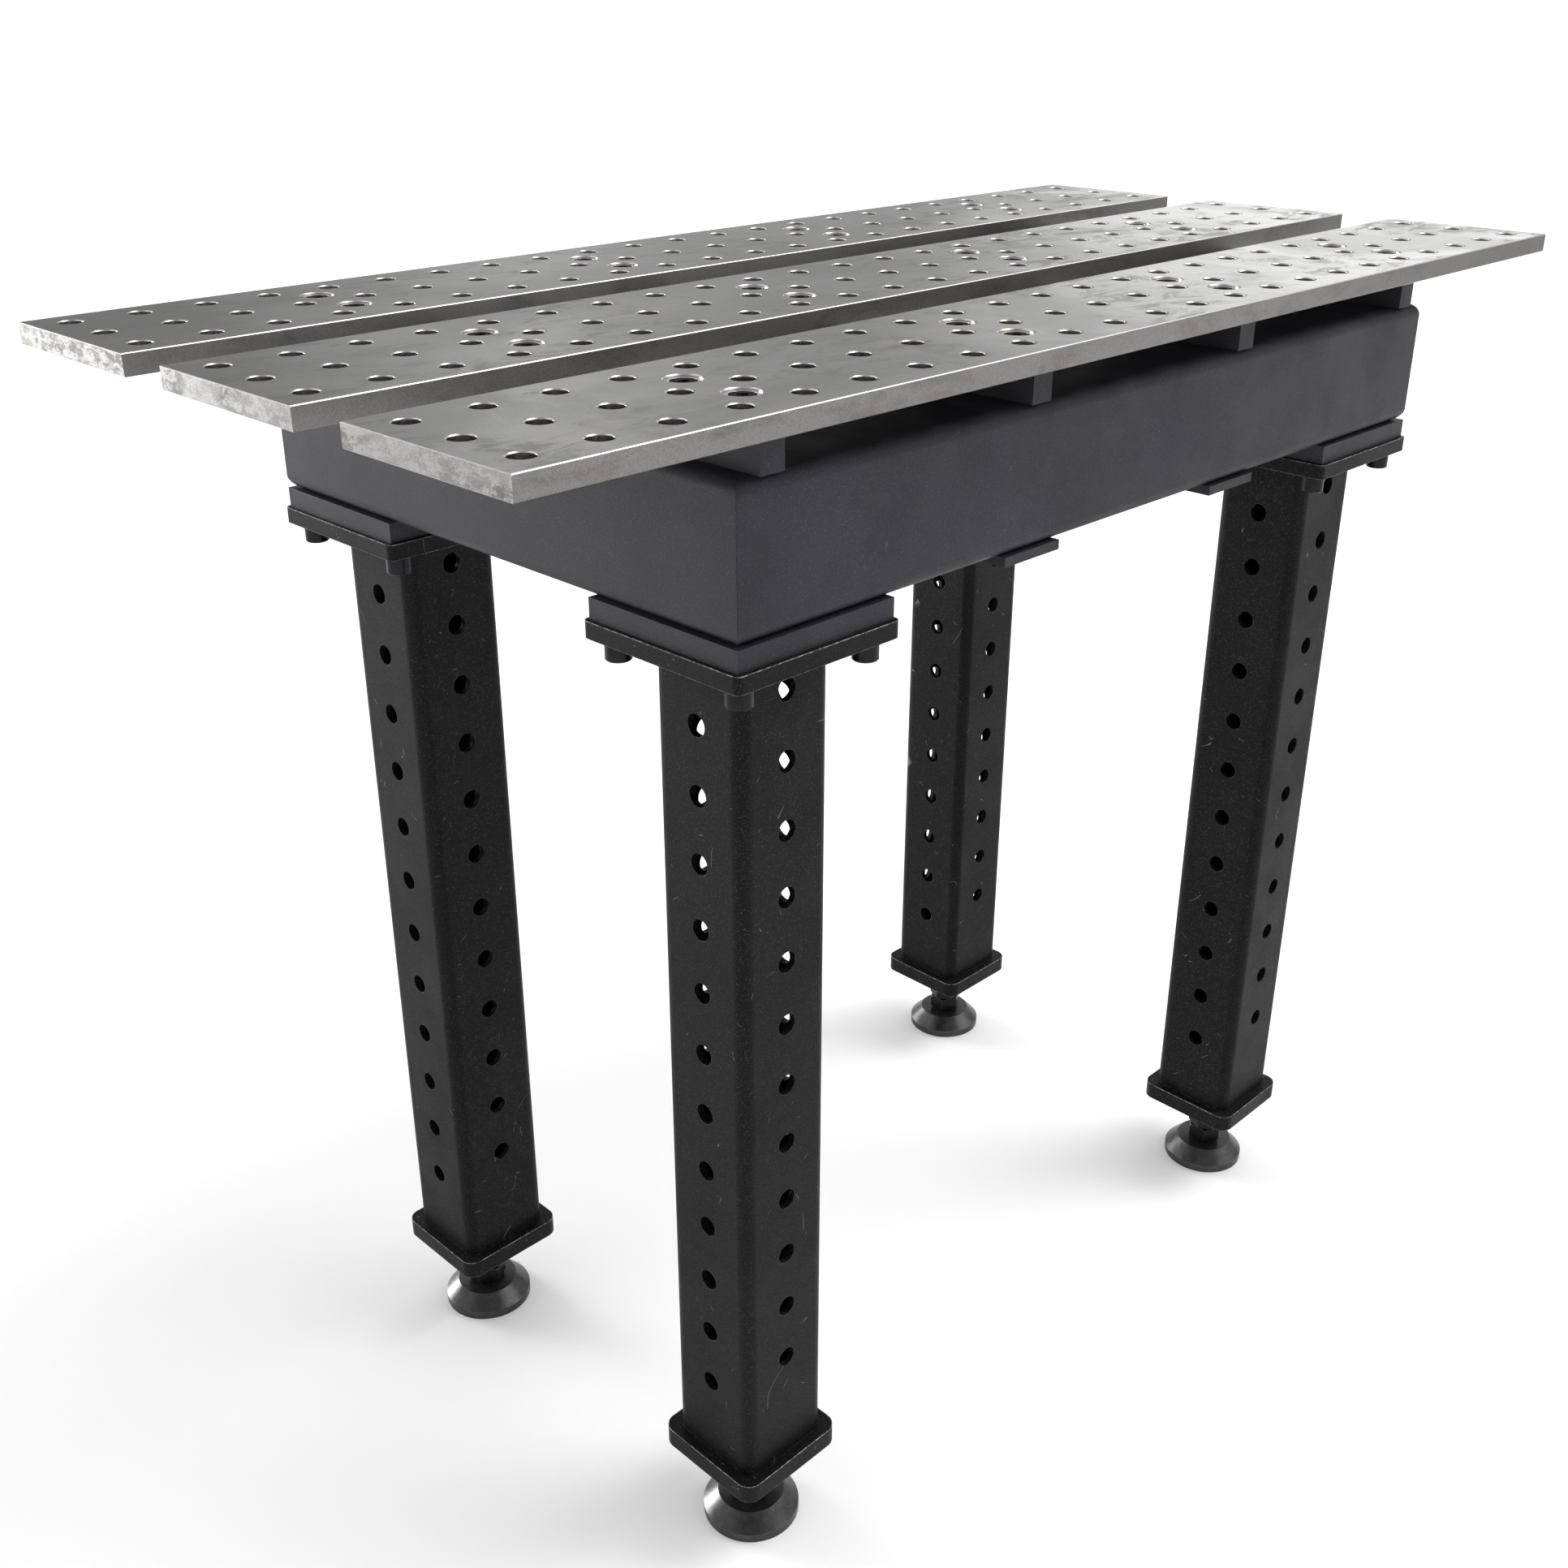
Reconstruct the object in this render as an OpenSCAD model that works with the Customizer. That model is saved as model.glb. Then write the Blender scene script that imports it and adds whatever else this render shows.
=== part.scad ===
// Welding table: three drilled steel planks on a frame of rectangular tube, with four bolted legs
// on levelling feet. Millimetres, +Z up, origin on the floor under the middle of the table top,
// +X along the planks, +Y to the back.

/* [Table top] */
// Height of the working surface above the floor
table_height = 930; // [930:1:1100]
// Thickness of each plank
plank_t = 15; // [14:1:25]
// Width of each plank
plank_w = 150; // [140:2:180]
// Distance between the centre lines of neighbouring planks
plank_spacing = 200; // [200:5:220]
// Distance between neighbouring fixture holes
hole_pitch = 50; // [50:5:60]
// Number of fixture holes along a plank
hole_cols = 23; // [19:2:25]
// Diameter of a fixture hole
hole_d = 16; // [12:1:20]

/* [Frame] */
// Length of the frame over its outer faces
frame_l = 808; // [800:2:840]
// Depth of the frame over its outer faces
frame_w = 498; // [480:2:520]
// Height of the frame tube
rail_h = 100; // [80:5:120]
// Width of the frame tube
rail_w = 100; // [70:5:120]
// Wall of the frame tube
rail_wall = 5; // [3:0.5:6]
// Height of a crossbar
crossbar_h = 28; // [26:1:40]
// Width of a crossbar
crossbar_w = 20; // [20:1:30]
// Width of a strap under the frame
strap_w = 60; // [40:5:80]
// Thickness of a strap under the frame
strap_t = 7; // [5:1:10]

/* [Legs] */
// Side of a square corner pad
pad_side = 137; // [136:1:139]
// Thickness of a corner pad
pad_t = 15; // [15:1:25]
// Side of the flange on top of a leg
flange_side = 144; // [140:1:150]
// Thickness of the flange
flange_t = 12; // [10:1:15]
// Side of the square leg tube
leg_side = 82; // [80:1:84]
// Wall of the leg tube
leg_wall = 5; // [3:0.5:6]
// Number of holes down each face of a leg
leg_holes = 12; // [6:1:12]
// Side of the foot plate
foot_side = 100; // [94:1:110]
// Thickness of the foot plate
foot_t = 16; // [12:1:18]

/* [Levelling feet] */
// Height of the foot plate's underside above the floor
foot_clearance = 73; // [73:1:85]
// Thread diameter of the levelling stud
stud_d = 20; // [16:1:20]
// Width across the flats of the jam nut and of the stud's hexagon
hex_af = 30; // [27:1:32]
// Diameter of the pad that rests on the floor
disc_d = 78; // [70:1:90]

/* [Hidden] */

LEFT = -1;
RIGHT = 1;
FRONT = -1;
MIDDLE = 0;
BACK = 1;

round_fn = 96;
eps = 1;                         // how far a cutting tool runs past a face

// Table top
plank_l = hole_cols * hole_pitch;
plank_z = table_height - plank_t;
edge_chamfer = 0.6;
hole_chamfer = 0.75;
hole_reach = (hole_cols - 1) / 2;
bolt_x = [-7.5 * hole_pitch, -2.5 * hole_pitch, 2.5 * hole_pitch, 7.5 * hole_pitch];
bolt_y = 0.5 * hole_pitch;       // each side of a plank's centre line

// Plank bolts: M10 socket head cap screws in stepped recesses
recess_d = 24;
recess_depth = 1.5;
recess_chamfer = 0.8;
bolt_d = 10;
bolt_head_d = 16;
bolt_head_h = 10;
bolt_key = 8;
bolt_key_depth = 5;
bolt_into_bar = 21.5;
bolt_clearance = 0.5;            // radial, round the shank and the head in the plank

// Frame
bar_z = plank_z - crossbar_h;
rail_z = bar_z - rail_h;
rail_r = 10;
thread_gap = 0.05;               // radial, between a shank and its plain modelled thread
bar_hole_depth = 24;

// Legs
pad_z = rail_z - pad_t;
flange_z = pad_z - flange_t;
flange_r = 5;
leg_x = (frame_l - pad_side) / 2;
leg_y = (frame_w - pad_side) / 2;
leg_r = 10;
foot_top = foot_clearance + foot_t;
foot_r = 12;
hole_drop = 24;                  // flange to the first hole in the front and back faces
screw_pos = 56;                  // from the leg's axis, both ways
screw_d = 12;
screw_head_d = 18;
screw_head_h = 15;
screw_key = 10;
screw_key_depth = 6;
screw_hole_d = 13.5;

// Levelling feet
disc_rim = 7.5;
disc_top_d = 54;
disc_h = 20;
socket_z = 11;
ball_d = 15;
socket_gap = 0.06;               // radial, between the ball and its socket
neck_d = 10;
mouth_d = 13;
hex_z = 22;
hex_h = 15.3;
hex_turn = 30;
nut_turn = 5;
nut_z = hex_z + hex_h + 0.1;
nut_h = 16;
hex_chamfer = 1.6;
stud_top = foot_top + 44;
stud_gap = 0.06;                 // radial, running fit of the stud in its plate and nut

// Colours
steel = [0.60, 0.60, 0.59];
frame_grey = [0.27, 0.27, 0.29];
leg_black = [0.16, 0.16, 0.16];
screw_black = [0.20, 0.20, 0.21];

// Rectangle with round corners, centred on the origin
module round_rect(x, y, r) {
    square([x - 2 * r, y], center = true);
    square([x, y - 2 * r], center = true);
    for (sx = [-1, 1], sy = [-1, 1])
        translate([sx * (x / 2 - r), sy * (y / 2 - r)]) circle(r = r, $fn = round_fn);
}

// Rectangle with its four corners cut off at 45 degrees, centred on the origin
module cut_rect(x, y, c) {
    polygon([
        for (q = [[1, 1], [-1, 1], [-1, -1], [1, -1]])
            for (k = (q[0] * q[1] > 0) ? [0, 1] : [1, 0])
                [q[0] * (x / 2 - c * k), q[1] * (y / 2 - c * (1 - k))]
    ]);
}

// Slab resting on z = 0 whose top and bottom edges are all chamfered
module edged_slab(x, y, z, c) {
    translate([0, 0, z / 2])
        intersection() {
            rotate([90, 0, 0]) linear_extrude(y, center = true) cut_rect(x, z, c);
            rotate([90, 0, 90]) linear_extrude(x, center = true) cut_rect(y, z, c);
        }
}

// Hexagonal prism on z = 0 with its corners chamfered at both ends
module hexagon(af, h) {
    corner_r = af / 2 / cos(30);
    face_r = af / 2 * 0.96;
    intersection() {
        cylinder(r = corner_r, h = h, $fn = 6);
        rotate_extrude($fn = round_fn)
            polygon([
                [0, 0], [face_r, 0], [corner_r + 0.1, hex_chamfer],
                [corner_r + 0.1, h - hex_chamfer], [face_r, h], [0, h]
            ]);
    }
}

// Socket head cap screw, head up, with the underside of its head on z = 0
module cap_screw(d, length, head_d, head_h, key, key_depth) {
    difference() {
        union() {
            rotate_extrude($fn = round_fn)
                polygon([
                    [0, 0], [head_d / 2, 0], [head_d / 2, head_h - 0.8],
                    [head_d / 2 - 0.8, head_h], [0, head_h]
                ]);
            translate([0, 0, -length]) cylinder(d = d, h = length + eps, $fn = round_fn);
        }
        translate([0, 0, head_h - key_depth])
            cylinder(d = key / cos(30), h = key_depth + eps, $fn = 6);
    }
}

// Tool that cuts one fixture hole, with a chamfer at both faces of the plank
module fixture_hole() {
    r = hole_d / 2;
    wide = r + hole_chamfer;
    rotate_extrude($fn = round_fn)
        polygon([
            [0, -eps], [wide, -eps], [wide, 0], [r, hole_chamfer],
            [r, plank_t - hole_chamfer], [wide, plank_t], [wide, plank_t + eps], [0, plank_t + eps]
        ]);
}

// Tool that cuts one stepped recess for a plank bolt
module bolt_recess() {
    shank_r = bolt_d / 2 + bolt_clearance;
    head_r = bolt_head_d / 2 + bolt_clearance;
    seat = plank_t - recess_depth - bolt_head_h;
    floor_z = plank_t - recess_depth;
    rim_r = recess_d / 2;
    rotate_extrude($fn = round_fn)
        polygon([
            [0, -eps], [shank_r, -eps], [shank_r, seat], [head_r, seat], [head_r, floor_z],
            [rim_r, floor_z], [rim_r, plank_t - recess_chamfer], [rim_r + recess_chamfer, plank_t],
            [rim_r + recess_chamfer, plank_t + eps], [0, plank_t + eps]
        ]);
}

// Top plank: row is FRONT, MIDDLE or BACK
module plank(row) {
    color(steel)
        translate([0, row * plank_spacing, plank_z])
            difference() {
                edged_slab(plank_l, plank_w, plank_t, edge_chamfer);
                for (i = [-hole_reach:hole_reach], j = [-1:1])
                    translate([i * hole_pitch, j * hole_pitch, 0]) fixture_hole();
                for (x = bolt_x, j = [-1, 1])
                    translate([x, j * bolt_y, 0]) bolt_recess();
            }
}

// The eight bolts that hold one plank to the crossbars
module plank_bolts(row) {
    seat = plank_t - recess_depth - bolt_head_h;
    color(screw_black)
        translate([0, row * plank_spacing, plank_z + seat])
            for (x = bolt_x, j = [-1, 1])
                translate([x, j * bolt_y, 0])
                    cap_screw(bolt_d, seat + bolt_into_bar, bolt_head_d, bolt_head_h, bolt_key,
                        bolt_key_depth);
}

// Solid bar across the frame that carries the planks
module crossbar(i) {
    color(frame_grey)
        translate([bolt_x[i], 0, bar_z])
            difference() {
                translate([-crossbar_w / 2, -frame_w / 2, 0]) cube([crossbar_w, frame_w, crossbar_h]);
                for (row = [FRONT, MIDDLE, BACK], j = [-1, 1])
                    translate([0, row * plank_spacing + j * bolt_y, crossbar_h - bar_hole_depth])
                        cylinder(r = bolt_d / 2 + thread_gap, h = bar_hole_depth + eps, $fn = round_fn);
            }
}

// Rectangular tube of the frame along X, its outer face at y = 0 and its ends mitred
module mitred_rail(length) {
    intersection() {
        translate([0, rail_w / 2, rail_h / 2])
            rotate([90, 0, 90])
                linear_extrude(length, center = true)
                    difference() {
                        round_rect(rail_w, rail_h, rail_r);
                        round_rect(rail_w - 2 * rail_wall, rail_h - 2 * rail_wall, rail_r - rail_wall);
                    }
        linear_extrude(rail_h)
            polygon([
                [-length / 2, 0], [length / 2, 0],
                [length / 2 - rail_w, rail_w], [rail_w - length / 2, rail_w]
            ]);
    }
}

// Front or back rail
module long_rail(side) {
    color(frame_grey)
        translate([0, side * frame_w / 2, rail_z])
            rotate([0, 0, side == FRONT ? 0 : 180]) mitred_rail(frame_l);
}

// Left or right rail
module short_rail(side) {
    color(frame_grey)
        translate([side * frame_l / 2, 0, rail_z])
            rotate([0, 0, side == LEFT ? -90 : 90]) mitred_rail(frame_w);
}

// Flat strap across the underside of the two long rails
module strap(i) {
    color(frame_grey)
        translate([bolt_x[i] - strap_w / 2, -frame_w / 2, rail_z - strap_t])
            cube([strap_w, frame_w, strap_t]);
}

// Places its children on the axis of one leg
module at_leg(side, end) {
    translate([side * leg_x, end * leg_y, 0]) children();
}

// Runs its children at the four flange screws of a leg
module at_screws() {
    for (sx = [-1, 1], sy = [-1, 1])
        translate([sx * screw_pos, sy * screw_pos, 0]) children();
}

// Square pad under a corner of the frame, tapped for the leg's screws
module corner_pad(side, end) {
    color(frame_grey)
        at_leg(side, end)
            difference() {
                translate([-pad_side / 2, -pad_side / 2, pad_z]) cube([pad_side, pad_side, pad_t]);
                at_screws()
                    translate([0, 0, pad_z - eps])
                        cylinder(r = screw_d / 2 + thread_gap, h = pad_t + 2 * eps, $fn = round_fn);
            }
}

// Flange on top of a leg
module leg_flange(side, end) {
    color(leg_black)
        at_leg(side, end)
            translate([0, 0, flange_z])
                linear_extrude(flange_t)
                    difference() {
                        round_rect(flange_side, flange_side, flange_r);
                        at_screws() circle(d = screw_hole_d, $fn = round_fn);
                    }
}

// Leg tube with a column of through holes in each pair of faces, half a pitch apart
module leg_tube(side, end) {
    inner = leg_side - 2 * leg_wall;
    first = flange_z - hole_drop;
    color(leg_black)
        at_leg(side, end)
            difference() {
                translate([0, 0, foot_top])
                    linear_extrude(flange_z - foot_top)
                        difference() {
                            round_rect(leg_side, leg_side, leg_r);
                            round_rect(inner, inner, leg_r - leg_wall);
                        }
                for (i = [0:leg_holes - 1]) {
                    translate([0, 0, first - i * hole_pitch])
                        rotate([90, 0, 0])
                            cylinder(d = hole_d, h = leg_side + 2 * eps, center = true, $fn = round_fn);
                    translate([0, 0, first - (i + 0.5) * hole_pitch])
                        rotate([0, 90, 0])
                            cylinder(d = hole_d, h = leg_side + 2 * eps, center = true, $fn = round_fn);
                }
            }
}

// Plate at the bottom of a leg, tapped for the levelling stud
module foot_plate(side, end) {
    color(leg_black)
        at_leg(side, end)
            translate([0, 0, foot_clearance])
                linear_extrude(foot_t)
                    difference() {
                        round_rect(foot_side, foot_side, foot_r);
                        circle(r = stud_d / 2 + stud_gap, $fn = round_fn);
                    }
}

// The four screws that hold a leg's flange up against its corner pad
module leg_screws(side, end) {
    color(screw_black)
        at_leg(side, end)
            at_screws()
                translate([0, 0, flange_z])
                    rotate([180, 0, 0])
                        cap_screw(screw_d, flange_t + pad_t - 2, screw_head_d, screw_head_h,
                            screw_key, screw_key_depth);
}

// Levelling stud: ball and neck below, a hexagon for a spanner, and the thread above
module stud(side, end) {
    color(screw_black)
        at_leg(side, end) {
            translate([0, 0, socket_z]) sphere(d = ball_d, $fn = round_fn);
            translate([0, 0, socket_z]) cylinder(d = neck_d, h = hex_z - socket_z + eps, $fn = round_fn);
            translate([0, 0, hex_z]) rotate([0, 0, hex_turn]) hexagon(hex_af, hex_h);
            translate([0, 0, hex_z + hex_h - eps])
                cylinder(d = stud_d, h = stud_top - hex_z - hex_h + eps, $fn = round_fn);
        }
}

// Jam nut that runs on the stud and locks against the foot plate
module jam_nut(side, end) {
    color(screw_black)
        at_leg(side, end)
            translate([0, 0, nut_z])
                difference() {
                    rotate([0, 0, nut_turn]) hexagon(hex_af, nut_h);
                    translate([0, 0, -eps])
                        cylinder(r = stud_d / 2 + stud_gap, h = nut_h + 2 * eps, $fn = round_fn);
                }
}

// Pad that rests on the floor and swivels on the stud's ball
module floor_pad(side, end) {
    color(screw_black)
        at_leg(side, end)
            difference() {
                rotate_extrude($fn = round_fn)
                    polygon([
                        [0, 0], [disc_d / 2, 0], [disc_d / 2, disc_rim],
                        [disc_top_d / 2, disc_h], [0, disc_h]
                    ]);
                translate([0, 0, socket_z]) sphere(r = ball_d / 2 + socket_gap, $fn = round_fn);
                translate([0, 0, socket_z]) cylinder(d = mouth_d, h = disc_h, $fn = round_fn);
            }
}

plank(FRONT);  // plank_front
plank(MIDDLE);  // plank_middle
plank(BACK);  // plank_back
plank_bolts(FRONT);  // plank_bolts_front
plank_bolts(MIDDLE);  // plank_bolts_middle
plank_bolts(BACK);  // plank_bolts_back
crossbar(0);  // crossbar_outer_left
crossbar(1);  // crossbar_inner_left
crossbar(2);  // crossbar_inner_right
crossbar(3);  // crossbar_outer_right
long_rail(FRONT);  // frame_rail_front
long_rail(BACK);  // frame_rail_back
short_rail(LEFT);  // frame_rail_left
short_rail(RIGHT);  // frame_rail_right
strap(1);  // frame_strap_left
strap(2);  // frame_strap_right
corner_pad(LEFT, FRONT);  // corner_pad_front_left
corner_pad(RIGHT, FRONT);  // corner_pad_front_right
corner_pad(LEFT, BACK);  // corner_pad_back_left
corner_pad(RIGHT, BACK);  // corner_pad_back_right
leg_flange(LEFT, FRONT);  // leg_flange_front_left
leg_flange(RIGHT, FRONT);  // leg_flange_front_right
leg_flange(LEFT, BACK);  // leg_flange_back_left
leg_flange(RIGHT, BACK);  // leg_flange_back_right
leg_tube(LEFT, FRONT);  // leg_tube_front_left
leg_tube(RIGHT, FRONT);  // leg_tube_front_right
leg_tube(LEFT, BACK);  // leg_tube_back_left
leg_tube(RIGHT, BACK);  // leg_tube_back_right
foot_plate(LEFT, FRONT);  // foot_plate_front_left
foot_plate(RIGHT, FRONT);  // foot_plate_front_right
foot_plate(LEFT, BACK);  // foot_plate_back_left
foot_plate(RIGHT, BACK);  // foot_plate_back_right
leg_screws(LEFT, FRONT);  // leg_screws_front_left
leg_screws(RIGHT, FRONT);  // leg_screws_front_right
leg_screws(LEFT, BACK);  // leg_screws_back_left
leg_screws(RIGHT, BACK);  // leg_screws_back_right
stud(LEFT, FRONT);  // stud_front_left
stud(RIGHT, FRONT);  // stud_front_right
stud(LEFT, BACK);  // stud_back_left
stud(RIGHT, BACK);  // stud_back_right
jam_nut(LEFT, FRONT);  // jam_nut_front_left
jam_nut(RIGHT, FRONT);  // jam_nut_front_right
jam_nut(LEFT, BACK);  // jam_nut_back_left
jam_nut(RIGHT, BACK);  // jam_nut_back_right
floor_pad(LEFT, FRONT);  // floor_pad_front_left
floor_pad(RIGHT, FRONT);  // floor_pad_front_right
floor_pad(LEFT, BACK);  // floor_pad_back_left
floor_pad(RIGHT, BACK);  // floor_pad_back_right
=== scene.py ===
"""Looks of the welding table: materials, threaded studs, studio and camera round the fixed CAD frame."""

from math import cos, pi, radians, sin, sqrt

import bmesh
import bpy
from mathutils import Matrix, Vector


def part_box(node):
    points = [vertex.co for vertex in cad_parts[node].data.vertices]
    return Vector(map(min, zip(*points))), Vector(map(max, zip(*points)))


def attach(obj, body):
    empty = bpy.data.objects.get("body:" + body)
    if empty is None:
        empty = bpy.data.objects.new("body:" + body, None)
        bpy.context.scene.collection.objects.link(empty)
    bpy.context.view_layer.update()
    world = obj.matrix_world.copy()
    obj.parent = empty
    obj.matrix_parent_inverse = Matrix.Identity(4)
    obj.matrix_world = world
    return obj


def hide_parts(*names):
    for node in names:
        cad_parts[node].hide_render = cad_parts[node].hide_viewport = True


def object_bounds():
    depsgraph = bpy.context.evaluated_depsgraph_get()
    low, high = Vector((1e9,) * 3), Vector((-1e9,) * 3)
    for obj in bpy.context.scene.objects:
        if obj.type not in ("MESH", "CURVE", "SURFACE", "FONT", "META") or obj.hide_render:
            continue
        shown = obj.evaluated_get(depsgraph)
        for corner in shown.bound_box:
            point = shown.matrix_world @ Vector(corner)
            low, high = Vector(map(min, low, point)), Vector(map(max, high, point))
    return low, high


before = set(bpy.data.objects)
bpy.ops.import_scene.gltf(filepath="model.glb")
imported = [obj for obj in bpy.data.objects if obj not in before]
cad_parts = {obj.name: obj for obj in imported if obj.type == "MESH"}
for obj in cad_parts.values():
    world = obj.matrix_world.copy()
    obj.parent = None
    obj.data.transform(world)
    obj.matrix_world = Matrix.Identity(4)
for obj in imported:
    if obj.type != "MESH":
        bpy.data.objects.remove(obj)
cad_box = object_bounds()

MM = 0.001
ROWS = ("front", "middle", "back")
CORNERS = ("front_left", "front_right", "back_left", "back_right")
CROSSBARS = ("outer_left", "inner_left", "inner_right", "outer_right")
RAILS = ("front", "back", "left", "right")

# Levelling studs, as the CAD has them
STUD_R = 10 * MM
HEX_FLATS = 30 * MM
HEX_TURN = pi / 6
HEX_CHAMFER = 1.6 * MM
HEX_ABOVE_PAD = 2 * MM
HEX_BELOW_NUT = 0.1 * MM
NECK_R = 5 * MM
BALL_R = 7.5 * MM
TIP_CHAMFER = 1.5 * MM
TIP_INSET = 1.6 * MM

# Their thread, cut into the CAD's plain shank
THREAD_PITCH = 2.5 * MM
THREAD_DEPTH = 0.6134 * THREAD_PITCH
CREST_SHARE = 0.125         # of half a pitch
FLANK_SHARE = 0.625

# How finely the studs are made
STUD_SIDES = 48
BALL_STEPS = 14
BALL_REACH = 0.77           # of the half turn from the ball's foot to its top
CHAMFER_STEPS = 6
RINGS_PER_PITCH = 8
HEX_FACE_SHARE = 0.96       # of the flats, where the chamfer's cone meets the end face
HEX_CORNER_EXTRA = 0.1 * MM
STUD_SMOOTH_ANGLE = radians(32)

# Where the planks are, for the zones of their material
plank_low, plank_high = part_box("plank_middle")
plank_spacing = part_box("plank_back")[1].y - plank_high.y
ZONE_EDGE = 0.1 * MM        # how near to a face counts as on it
TOP_EDGE = 1 * MM           # band along the top edges, where the painted highlight goes
RIM_PAINTED_LIGHT_TO = 1.5 * MM   # depths in the holes, below the top, where the walls' painted light ends and their painted shade begins
DEEP_PAINTED_SHADE_FROM = 5 * MM
BRIM = 2 * MM               # band round the tops of the leg plates, where the rubbed edges are made brighter as a painted highlight

# Range that most of a noise's values lie in
MOST = (0.3, 0.7)
BEVEL_SAMPLES = 6

# Ground steel
TOP_DARK = (0.2, 0.198, 0.194)
TOP_PALE = (0.29, 0.288, 0.283)
TOP_WARM = (0.33, 0.313, 0.293)
TOP_SMEAR = (0.135, 0.132, 0.127)
TOP_SCRATCH = (0.16, 0.15, 0.14)
# colour of the painted highlight along the planks' top edges
EDGE_PAINTED_HIGHLIGHT = (0.9, 0.89, 0.87)
SIDE_PLAIN = (0.20, 0.196, 0.186)
SIDE_STAIN = (0.13, 0.11, 0.09)
SIDE_RIGHT_PAINTED_SHADE = 0.62     # painted shade at the right end, as a share of the tone at the middle
END_PALE = (0.42, 0.41, 0.39)
END_BLOTCH = (0.1, 0.096, 0.09)
# painted light and shade on the plank ends: the front row's share and the back row's
END_ROW_PAINTED_LIGHT = (0.64, 1.3)
# Hole walls: painted shade deep down, painted light near the rim
WALL_DEEP_PAINTED_SHADE = (0.2, 0.19, 0.178)
WALL_RIM_PAINTED_LIGHT = (0.46, 0.44, 0.41)

# Studio light: the key's strength, the surroundings' grey, and lighter or darker patches of them, each
# with its azimuth and height, the angles where it starts and where it is full, and what it adds
SUN = 0.7
SUN_ANGLE = radians(60)
SUN_TURN = (radians(38), 0, radians(55))
GREY = 0.9
PATCHES = (
    (25, -4, 19, 8, 2.0),
    (45, 9, 8, 3, -0.35),
    (54, 18, 9, 3, 0.5),
    (75, 9, 30, 8, -0.48),
    (105, 3, 18, 8, 40.0),
    (0, 90, 66, 37, 0.95),
    (225, 60, 45, 20, -1.2),
    (-35, 52, 18, 6, 9.0),
)

FLOOR_R = 90
FLOOR_SIDES = 96
FLOOR_PALE = (0.9, 0.9, 0.9)

CAMERA_PLACE = (-1.0571, -0.9403, 1.1493)
CAMERA_TURN = (radians(64.79), 0, radians(-45.0))
LENS = 40
SENSOR = 36


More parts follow.
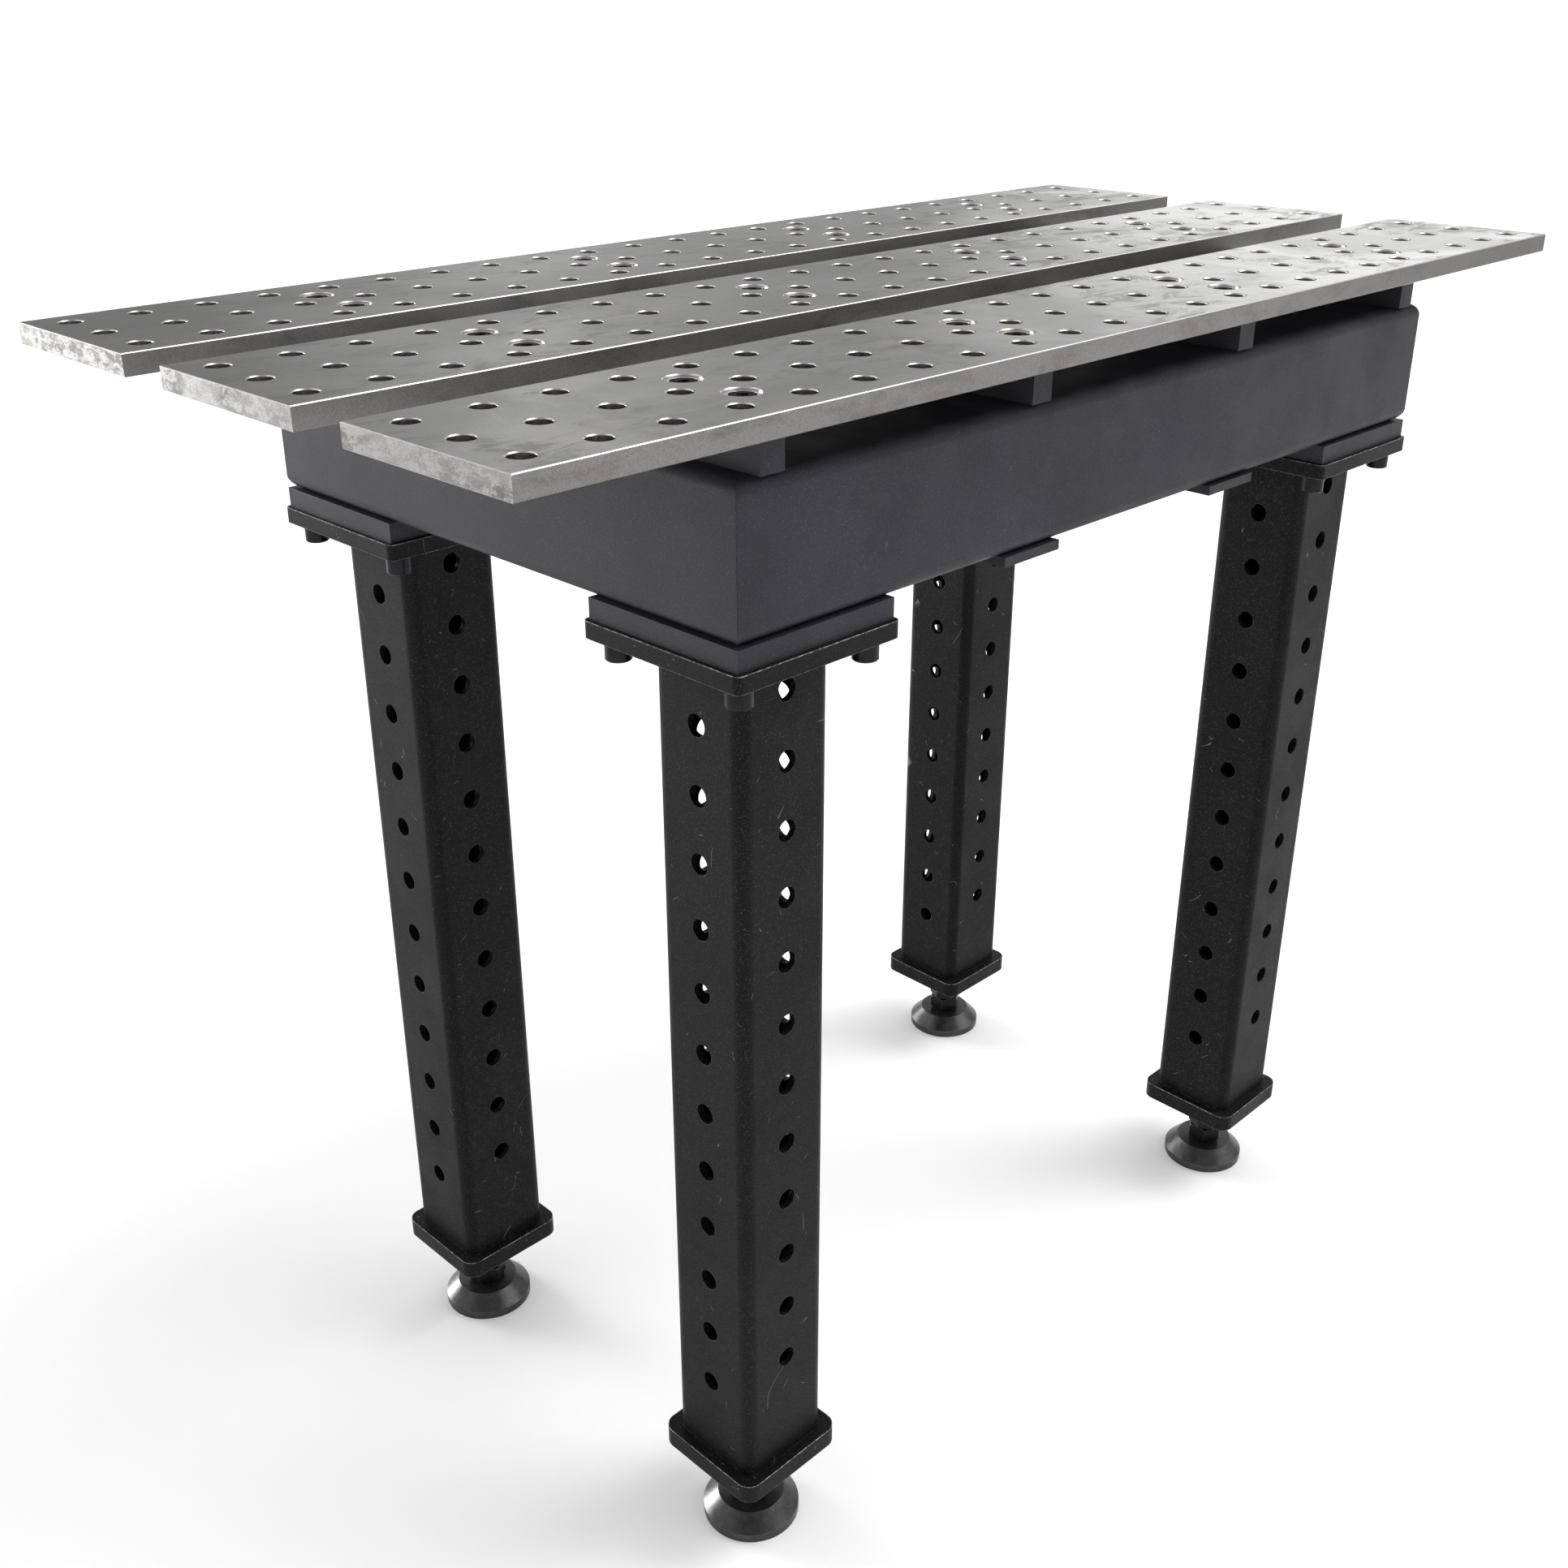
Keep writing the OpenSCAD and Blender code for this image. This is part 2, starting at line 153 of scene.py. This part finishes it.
class Look:
    """A node material: each call adds one node, feeds it and returns its output."""

    def __init__(self, name):
        self.material = bpy.data.materials.new(name)
        self.material.use_nodes = True
        tree = self.material.node_tree
        tree.nodes.clear()
        self.nodes = tree.nodes
        self.links = tree.links
        self.shader = self.nodes.new("ShaderNodeBsdfPrincipled")
        output = self.nodes.new("ShaderNodeOutputMaterial")
        self.links.new(self.shader.outputs["BSDF"], output.inputs["Surface"])
        self.place = self.nodes.new("ShaderNodeTexCoord").outputs["Object"]

    def feed(self, socket, value):
        """Links another node's output to a socket, or sets a plain number or colour on it."""
        if isinstance(value, bpy.types.NodeSocket):
            self.links.new(value, socket)
        elif socket.type == "RGBA":
            socket.default_value = (*value, 1.0)
        else:
            socket.default_value = value

    def add(self, kind, feeds, **settings):
        """Adds a node of a kind, with its settings made and its inputs fed."""
        node = self.nodes.new("ShaderNode" + kind)
        for name, value in settings.items():
            setattr(node, name, value)
        for socket, value in feeds.items():
            self.feed(node.inputs[socket], value)
        return node

    def surface(self, **feeds):
        """Feeds the Principled shader: base_color feeds Base Color, and so on."""
        for name, value in feeds.items():
            self.feed(self.shader.inputs[name.replace("_", " ").title().replace("Ior", "IOR")], value)

    def math(self, operation, a, b=0.0, c=0.0):
        return self.add("Math", {0: a, 1: b, 2: c}, operation=operation).outputs[0]

    def times(self, a, b):
        return self.math("MULTIPLY", a, b)

    def above(self, value, limit):
        """1 where value is over limit, and 0 elsewhere."""
        return self.math("GREATER_THAN", value, limit)

    def beyond(self, value, limit):
        """1 where value is over limit on either side of 0, and 0 elsewhere."""
        return self.above(self.math("ABSOLUTE", value), limit)

    def axes(self, vector):
        return self.add("SeparateXYZ", {0: vector}).outputs

    def blend(self, factor, a, b):
        """Colour a where factor is 0, and b where it is 1."""
        return self.add("Mix", {0: factor, 6: a, 7: b}, data_type="RGBA").outputs[2]

    def between(self, factor, a, b):
        """Number a where factor is 0, and b where it is 1."""
        return self.add("Mix", {0: factor, 2: a, 3: b}).outputs[0]

    def scale(self, colour, factor):
        """A colour times a number that varies over the surface."""
        return self.add("VectorMath", {0: colour, "Scale": factor}, operation="SCALE").outputs[0]

    def ramp(self, value, low, high, to_low=0.0, to_high=1.0):
        """Smooth step from to_low to to_high as value goes from low to high."""
        feeds = {"Value": value, "From Min": low, "From Max": high, "To Min": to_low, "To Max": to_high}
        return self.add("MapRange", feeds, interpolation_type="SMOOTHSTEP").outputs[0]

    def stretched(self, stretch=(1, 1, 1), turn=0.0, shift=(0, 0, 0)):
        """Coordinates scaled by stretch, after a turn about Z, to draw a pattern out in one direction."""
        feeds = {"Vector": self.place, "Location": shift, "Rotation": (0, 0, turn), "Scale": stretch}
        return self.add("Mapping", feeds).outputs[0]

    def noise(self, scale, detail=3.0, roughness=0.5, distortion=0.0, at=None):
        """Noise with about scale features to the metre."""
        feeds = {
            "Vector": at or self.place,
            "Scale": scale,
            "Detail": detail,
            "Roughness": roughness,
            "Distortion": distortion,
        }
        return self.add("TexNoise", feeds).outputs["Fac"]

    def scratches(self, scale, width, share, shift):
        """Thin curved lines where a smooth noise passes its middle; a coarser noise lets only a share show."""
        at = self.stretched(shift=shift)
        from_line = self.math("ABSOLUTE", self.math("SUBTRACT", self.noise(scale, 0.0, at=at), 0.5))
        line = self.ramp(from_line, 0.0, width * scale, 1.0, 0.0)
        elsewhere = self.stretched(shift=(shift[0] + 5, 3, 1))
        shown = self.ramp(self.noise(scale * 1.7, 1.0, at=elsewhere), 1 - share, 1.05 - share)
        return self.times(line, shown)

    def rounded(self, radius):
        """Normals that turn over each edge as if it had that radius."""
        return self.add("Bevel", {"Radius": radius}, samples=BEVEL_SAMPLES).outputs[0]

    def edges(self, radius):
        """1 on sharp edges and 0 away from them, within radius."""
        rounded = self.rounded(radius)
        true = self.nodes.new("ShaderNodeNewGeometry").outputs["True Normal"]
        straight = self.add("VectorMath", {0: rounded, 1: true}, operation="DOT_PRODUCT")
        return self.ramp(straight.outputs["Value"], 0.995, 0.88)

    def relief(self, height, distance, round_edges):
        """Bump of that height in metres, over edges rounded in the shading."""
        feeds = {"Height": height, "Distance": distance, "Strength": 1.0, "Normal": self.rounded(round_edges)}
        self.surface(normal=self.add("Bump", feeds).outputs[0])


def steel_top(look, clouds, smears, fine):
    """Colour of a plank's top: clouds, warm patches and dark smears under a fine grain."""
    warm_at = look.stretched((1, 2.2, 1), shift=(7, 2, 0))
    warm = look.ramp(look.noise(7, 5.0, 0.65, 0.6, at=warm_at), 0.5, 0.72)
    top = look.blend(clouds, TOP_DARK, TOP_PALE)
    top = look.blend(look.times(warm, 0.7), top, TOP_WARM)
    top = look.blend(look.times(smears, 0.8), top, TOP_SMEAR)
    return look.scale(top, fine)


def steel_side(look, x, fine):
    """Colour of a plank's long side: plain with long stains, and painted shade darkening it to the right."""
    stains = look.ramp(look.noise(22, 8.0, 0.75, 0.5, at=look.stretched((0.5, 1, 1))), 0.48, 0.68)
    side = look.blend(look.times(stains, 0.7), SIDE_PLAIN, SIDE_STAIN)
    # painted shade: the side darkens towards the right end
    return look.scale(side, look.times(fine, look.ramp(x, 0, plank_high.x, 1.0, SIDE_RIGHT_PAINTED_SHADE)))


def steel_end(look, y, grain, blotches):
    """Colour of a plank's end: pale with dark blotches, with painted light making it paler from the front row to
    the back one.
    """
    end = look.blend(look.times(blotches, 0.9), END_PALE, END_BLOTCH)
    # painted light: the ends are darker on the front row and lighter on the back row
    rows = look.ramp(y, -plank_spacing, plank_spacing, *END_ROW_PAINTED_LIGHT)
    return look.scale(end, look.times(rows, look.ramp(grain, *MOST, 0.78, 1.16)))


def ground_steel():
    """Ground plank: cloudy top with smears, plain long sides with painted shade to the right, pale blotchy ends
    with painted light by row, hole walls with painted light near the rim and painted shade deeper down, and a
    painted highlight along the top edges.
    """
    look = Look("ground_steel")
    x, y, z = look.axes(look.place)
    row_y = look.math("WRAP", y, plank_spacing / 2, -plank_spacing / 2)
    on_end = look.beyond(x, plank_high.x - ZONE_EDGE)
    on_side = look.beyond(row_y, plank_high.y - ZONE_EDGE)
    on_top = look.above(z, plank_high.z - ZONE_EDGE)
    on_base = look.math("LESS_THAN", z, plank_low.z + ZONE_EDGE)
    on_flat = look.math("MAXIMUM", on_top, on_base)

    grain = look.noise(1300, 2.0)
    fine = look.ramp(grain, *MOST, 0.86, 1.14)
    clouds = look.ramp(look.noise(5.5, 6.0, 0.62, 0.8), 0.36, 0.64)
    smeared_at = look.stretched((1, 1.8, 1), radians(24))
    smears = look.ramp(look.noise(22, 8.0, 0.74, 1.0, at=smeared_at), 0.45, 0.62)
    rubbed = look.ramp(look.noise(8, 3.0, 0.6, at=look.stretched(shift=(3, 1, 0))), 0.42, 0.54)
    smears = look.times(smears, rubbed)
    across = look.stretched((1, 0.5, 1))
    patina = look.ramp(look.noise(130, 9.0, 0.78, 0.3, at=across), 0.46, 0.54)
    patches = look.ramp(look.noise(30, 4.0, 0.6, 0.4, at=across), 0.38, 0.62, 0.35, 1.0)
    specks = look.ramp(look.noise(480, 4.0, 0.7, at=across), 0.55, 0.65)
    blotches = look.times(look.math("MAXIMUM", patina, specks), patches)

    # hole walls: painted light near the top, fading to painted shade deeper down
    painted_rim_light = look.ramp(z, plank_high.z - DEEP_PAINTED_SHADE_FROM, plank_high.z - RIM_PAINTED_LIGHT_TO)
    colour = look.blend(on_side, look.blend(painted_rim_light, WALL_DEEP_PAINTED_SHADE, WALL_RIM_PAINTED_LIGHT), steel_side(look, x, fine))
    colour = look.blend(on_end, colour, steel_end(look, y, grain, blotches))
    colour = look.blend(on_flat, colour, steel_top(look, clouds, smears, fine))
    scratch = look.times(look.scratches(4, 0.5 * MM, 0.45, (2, 0, 0)), on_top)
    colour = look.blend(look.times(scratch, 0.55), colour, TOP_SCRATCH)
    # painted highlight along the top edges, stronger on the long sides than on the ends
    painted_edge_highlight = look.times(look.edges(0.6 * MM), look.above(z, plank_high.z - TOP_EDGE))
    painted_edge_highlight = look.times(painted_edge_highlight, look.between(look.beyond(row_y, plank_high.y - TOP_EDGE), 0.15, 1.0))
    colour = look.blend(look.times(painted_edge_highlight, 0.6), colour, EDGE_PAINTED_HIGHLIGHT)

    top_rough = look.math("ADD", look.ramp(clouds, 0, 1, 0.27, 0.22), look.ramp(smears, 0, 1, 0.0, 0.1))
    rough = look.between(on_end, look.between(on_side, 0.26, 0.46), 0.5)
    metallic = look.between(on_end, look.between(on_side, 1.0, 0.8), 0.25)
    look.surface(
        base_color=colour,
        metallic=look.between(on_flat, metallic, 1.0),
        roughness=look.between(on_flat, rough, top_rough),
    )
    look.relief(look.math("SUBTRACT", grain, look.times(blotches, on_end)), 0.012 * MM, 0.25 * MM)
    return look.material


def coated(name, colour, fleck, roughness, gloss, worn_and_lit, wear_and_highlight_share, scratch_share, plates):
    """Matt coat on steel: grain with pale flecks, rubbed edges and hairline scratches; plates have softer edges,
    and the rubbed edges along their top brims are made brighter as a painted highlight.
    """
    look = Look(name)
    z = look.axes(look.place)[2]
    on_plate = on_highlight_brim = 0.0
    for low, high in plates:
        inside = look.times(look.above(z, low - ZONE_EDGE), look.math("LESS_THAN", z, high + ZONE_EDGE))
        on_plate = look.math("MAXIMUM", on_plate, inside)
        on_highlight_brim = look.math("MAXIMUM", on_highlight_brim, look.times(inside, look.above(z, high - BRIM)))

    grain = look.noise(800, 4.0, 0.8)
    broad = look.ramp(look.noise(9, 4.0, 0.6, 0.4), *MOST, 0.85, 1.15)
    body = look.scale(look.blend(look.ramp(grain, 0.54, 0.68), colour, fleck), broad)
    dust = look.ramp(look.noise(17, 7.0, 0.75, 0.6), 0.53, 0.75)
    body = look.blend(look.times(dust, 0.1), body, fleck)

    short = look.scratches(55, 0.2 * MM, scratch_share, (1, 7, 3))
    arcs = look.scratches(13, 0.2 * MM, scratch_share, (4, 1, 9))
    scratched = look.math("MAXIMUM", short, arcs)
    edge = look.edges(look.between(on_plate, 0.4 * MM, 1.2 * MM))
    patchy = look.ramp(look.noise(300, 6.0, 0.75), 0.4, 0.62, 0.15, 1.0)
    # rubbed edges all round, made stronger on the plates' top brims as a painted highlight
    wear_and_highlight = look.times(look.times(edge, patchy), look.between(on_highlight_brim, 0.3, 1.0))
    chips = look.times(look.ramp(look.noise(210, 3.0, 0.6), 0.71, 0.75), on_plate)
    spots = look.math("MAXIMUM", look.times(scratched, 0.2), look.times(chips, 0.3))
    marks = look.math("MAXIMUM", look.times(wear_and_highlight, wear_and_highlight_share), spots)

    look.surface(
        base_color=look.blend(marks, body, worn_and_lit),
        roughness=look.ramp(look.noise(16, 4.0, 0.6), *MOST, roughness - 0.05, roughness + 0.07),
        specular_ior_level=gloss,
    )
    height = look.math("SUBTRACT", grain, look.times(scratched, 0.6))
    look.relief(height, 0.05 * MM, look.between(on_plate, 0.4 * MM, 1.1 * MM))
    return look.material


def turning_rings(look):
    """Fine rings about the nearest leg's axis, as a lathe leaves them."""
    leg = sum(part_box("floor_pad_back_right"), Vector()) / 2
    x, y, _ = look.axes(look.place)
    dx = look.math("SUBTRACT", look.math("ABSOLUTE", x), leg.x)
    dy = look.math("SUBTRACT", look.math("ABSOLUTE", y), leg.y)
    reach = look.math("SQRT", look.math("ADD", look.times(dx, dx), look.times(dy, dy)))
    feeds = {"W": look.times(reach, 2200.0), "Scale": 1.0}
    return look.add("TexNoise", feeds, noise_dimensions="1D").outputs["Fac"]


def oxide(name, colour, bright, roughness, turned):
    """Blackened steel, brighter on its edges; matt and not metallic in the planks' recesses, as painted shade
    that keeps the recessed bolt heads black; ringed where turned.
    """
    look = Look(name)
    grain = look.noise(900, 3.0)
    cloud = look.ramp(look.noise(120, 4.0, 0.6), 0.35, 0.65, 0.88, 1.12)
    body = look.scale(colour, look.times(cloud, look.ramp(grain, *MOST, 0.85, 1.15)))
    edge = look.times(look.edges(0.4 * MM), 0.7)
    height = grain
    if turned:
        height = look.math("ADD", look.times(grain, 0.3), look.times(turning_rings(look), 0.5))
    rough = look.ramp(look.noise(150, 3.0), *MOST, roughness - 0.03, roughness + 0.05)
    # painted shade: bolt heads in the planks' recesses are made matt and not metallic so they stay black
    sunk_in_painted_shade = look.above(look.axes(look.place)[2], plank_low.z)
    look.surface(
        base_color=look.blend(edge, body, bright),
        metallic=look.between(sunk_in_painted_shade, 0.85, 0.0),
        roughness=look.between(sunk_in_painted_shade, rough, 0.6),
        specular_ior_level=0.0,
    )
    look.relief(height, 0.012 * MM, 0.25 * MM)
    return look.material


def paint(material, *nodes):
    """Gives CAD nodes a material in every one of their slots."""
    for name in nodes:
        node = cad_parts[name]
        for slot in node.material_slots:
            slot.material = material


def hexagon_reach(angle):
    """How far a hexagon's edge is from its centre at an angle measured from one of its corners."""
    return HEX_FLATS / 2 / cos(angle % (pi / 3) - pi / 6)


def thread_reach(angle, z):
    """Radius of a right-hand thread: flat crest, sloping flanks and a flat root."""
    phase = (z / THREAD_PITCH - angle / (2 * pi)) % 1.0
    from_crest = abs(phase - 0.5) * 2
    depth = min(max((from_crest - CREST_SHARE) / FLANK_SHARE, 0.0), 1.0)
    return STUD_R - THREAD_DEPTH * depth


def stud_rings(box_low, box_high, hex_low, hex_high):
    """Rings of the stud from its ball up, each a height and a function from angle to radius."""
    ball_z = box_low.z + BALL_R
    rings = []
    joins_neck = sqrt(BALL_R**2 - NECK_R**2)
    for i in range(1, BALL_STEPS + 1):
        z = -BALL_R * cos(i / BALL_STEPS * pi * BALL_REACH)
        if z < joins_neck:
            rings.append((ball_z + z, lambda a, r=sqrt(BALL_R**2 - z**2): r))
    rings.append((ball_z + joins_neck, lambda a: NECK_R))
    rings.append((hex_low, lambda a: NECK_R))

    corner_r = HEX_FLATS / 2 / cos(pi / 6) + HEX_CORNER_EXTRA
    face_r = HEX_FLATS / 2 * HEX_FACE_SHARE
    levels = [i / CHAMFER_STEPS * HEX_CHAMFER for i in range(CHAMFER_STEPS + 1)]
    heights = [(hex_low + level, level) for level in levels]
    heights += [(hex_high - level, level) for level in reversed(levels)]
    for z, level in heights:
        cone = face_r + (corner_r - face_r) * level / HEX_CHAMFER
        rings.append((z, lambda a, c=cone: min(c, hexagon_reach(a - HEX_TURN))))

    step = THREAD_PITCH / RINGS_PER_PITCH
    count = int((box_high.z - hex_high) / step)
    for i in range(count + 1):
        z = hex_high + i * step
        end_r = STUD_R - max(0.0, z - (box_high.z - TIP_CHAMFER))
        rings.append((z, lambda a, z=z, e=end_r: min(e, thread_reach(a, z))))
    rings.append((box_high.z, lambda a: STUD_R - TIP_INSET))
    return rings


def threaded_stud(corner, material):
    """Levelling stud with its ball, neck, chamfered hexagon and helical thread, in place of the CAD one."""
    low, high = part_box("stud_" + corner)
    nut_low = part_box("jam_nut_" + corner)[0].z
    pad_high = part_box("floor_pad_" + corner)[1].z
    centre = (low + high) / 2
    angles = [2 * pi * k / STUD_SIDES for k in range(STUD_SIDES)]
    mesh = bmesh.new()
    below = mesh.verts.new((centre.x, centre.y, low.z))
    rows = []
    for z, reach in stud_rings(low, high, pad_high + HEX_ABOVE_PAD, nut_low - HEX_BELOW_NUT):
        rows.append([
            mesh.verts.new((centre.x + reach(a) * cos(a), centre.y + reach(a) * sin(a), z)) for a in angles
        ])
    for k in range(STUD_SIDES):
        after = k - STUD_SIDES + 1
        mesh.faces.new((below, rows[0][after], rows[0][k]))
        for row, above in zip(rows, rows[1:]):
            mesh.faces.new((row[k], row[after], above[after], above[k]))
    mesh.faces.new(rows[-1])
    bmesh.ops.recalc_face_normals(mesh, faces=mesh.faces)
    data = bpy.data.meshes.new("threaded_stud_" + corner)
    mesh.to_mesh(data)
    mesh.free()
    data.materials.append(material)
    stud = bpy.data.objects.new("threaded_stud_" + corner, data)
    bpy.context.scene.collection.objects.link(stud)
    data.shade_smooth()
    data.set_sharp_from_angle(angle=STUD_SMOOTH_ANGLE)
    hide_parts("stud_" + corner)
    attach(stud, "foot_" + corner)


def finish_parts():
    """Every CAD node in its material, and the studs in their place."""
    steel = ground_steel()
    plates = []
    for name in ("leg_flange", "foot_plate"):
        low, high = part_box(name + "_front_left")
        plates.append((low.z, high.z))
    frame_paint = coated(
        "frame_paint", colour=(0.017, 0.017, 0.022), fleck=(0.052, 0.052, 0.06), roughness=0.5, gloss=0.22,
        worn_and_lit=(0.2, 0.2, 0.21), wear_and_highlight_share=0.25, scratch_share=0.3, plates=[],
    )
    leg_coat = coated(
        "leg_powder_coat", colour=(0.004, 0.004, 0.004), fleck=(0.046, 0.046, 0.045), roughness=0.44, gloss=0.1,
        worn_and_lit=(0.6, 0.585, 0.55), wear_and_highlight_share=1.0, scratch_share=0.34, plates=plates,
    )
    black = oxide("black_oxide", (0.02, 0.02, 0.022), (0.16, 0.16, 0.16), roughness=0.32, turned=False)
    foot = oxide("foot_steel", (0.07, 0.07, 0.07), (0.3, 0.3, 0.3), roughness=0.29, turned=True)
    paint(steel, *("plank_" + row for row in ROWS))
    paint(black, *("plank_bolts_" + row for row in ROWS))
    paint(frame_paint, *("crossbar_" + name for name in CROSSBARS))
    paint(frame_paint, *("frame_rail_" + side for side in RAILS))
    paint(frame_paint, "frame_strap_left", "frame_strap_right")
    for corner in CORNERS:
        paint(frame_paint, "corner_pad_" + corner)
        paint(leg_coat, "leg_flange_" + corner, "leg_tube_" + corner, "foot_plate_" + corner)
        paint(black, "leg_screws_" + corner, "jam_nut_" + corner)
        paint(foot, "floor_pad_" + corner)
        threaded_stud(corner, black)


def floor():
    """Wide pale floor."""
    look = Look("pale_floor")
    shade = look.ramp(look.noise(0.8, 3.0), *MOST, 0.99, 1.0)
    look.surface(base_color=look.scale(FLOOR_PALE, shade), roughness=0.9, specular_ior_level=0.0)
    mesh = bmesh.new()
    bmesh.ops.create_circle(mesh, cap_ends=True, segments=FLOOR_SIDES, radius=FLOOR_R)
    data = bpy.data.meshes.new("studio_floor")
    mesh.to_mesh(data)
    mesh.free()
    data.materials.append(look.material)
    ground = bpy.data.objects.new("studio_floor", data)
    ground.location.z = cad_box[0].z
    bpy.context.scene.collection.objects.link(ground)


def key_light():
    """Broad soft light from the front right, high up."""
    data = bpy.data.lights.new("key", "SUN")
    data.energy = SUN
    data.angle = SUN_ANGLE
    light = bpy.data.objects.new("key", data)
    light.rotation_euler = SUN_TURN
    bpy.context.scene.collection.objects.link(light)


def studio_world():
    """Soft grey surroundings with lighter and darker patches, and a white backdrop for the camera."""
    world = bpy.data.worlds.new("studio")
    bpy.context.scene.world = world
    world.use_nodes = True
    nodes, links = world.node_tree.nodes, world.node_tree.links
    nodes.clear()
    direction = nodes.new("ShaderNodeTexCoord").outputs["Generated"]
    strength = None
    for azimuth, height, outer, inner, step in PATCHES:
        dot = nodes.new("ShaderNodeVectorMath")
        dot.operation = "DOT_PRODUCT"
        links.new(direction, dot.inputs[0])
        flat, up = cos(radians(height)), sin(radians(height))
        dot.inputs[1].default_value = (flat * cos(radians(azimuth)), flat * sin(radians(azimuth)), up)
        ramp = nodes.new("ShaderNodeMapRange")
        ramp.interpolation_type = "SMOOTHSTEP"
        links.new(dot.outputs["Value"], ramp.inputs["Value"])
        values = (cos(radians(outer)), cos(radians(inner)), 0.0, step)
        for socket, value in zip(("From Min", "From Max", "To Min", "To Max"), values):
            ramp.inputs[socket].default_value = value
        total = nodes.new("ShaderNodeMath")
        if strength is None:
            total.inputs[0].default_value = GREY
        else:
            links.new(strength, total.inputs[0])
        links.new(ramp.outputs[0], total.inputs[1])
        strength = total.outputs[0]
    lighting = nodes.new("ShaderNodeBackground")
    links.new(strength, lighting.inputs["Strength"])
    backdrop = nodes.new("ShaderNodeBackground")
    backdrop.inputs["Color"].default_value = (1, 1, 1, 1)
    seen = nodes.new("ShaderNodeLightPath")
    choose = nodes.new("ShaderNodeMixShader")
    links.new(seen.outputs["Is Camera Ray"], choose.inputs[0])
    links.new(lighting.outputs[0], choose.inputs[1])
    links.new(backdrop.outputs[0], choose.inputs[2])
    output = nodes.new("ShaderNodeOutputWorld")
    links.new(choose.outputs[0], output.inputs["Surface"])


def camera():
    """Camera at standing eye height, looking down across the table from its front left corner."""
    data = bpy.data.cameras.new("camera")
    data.lens = LENS
    data.sensor_width = SENSOR
    viewer = bpy.data.objects.new("camera", data)
    viewer.location = CAMERA_PLACE
    viewer.rotation_euler = CAMERA_TURN
    bpy.context.scene.collection.objects.link(viewer)
    bpy.context.scene.camera = viewer


finish_parts()
floor()
studio_world()
key_light()
camera()
bpy.context.scene.view_settings.view_transform = "Standard"
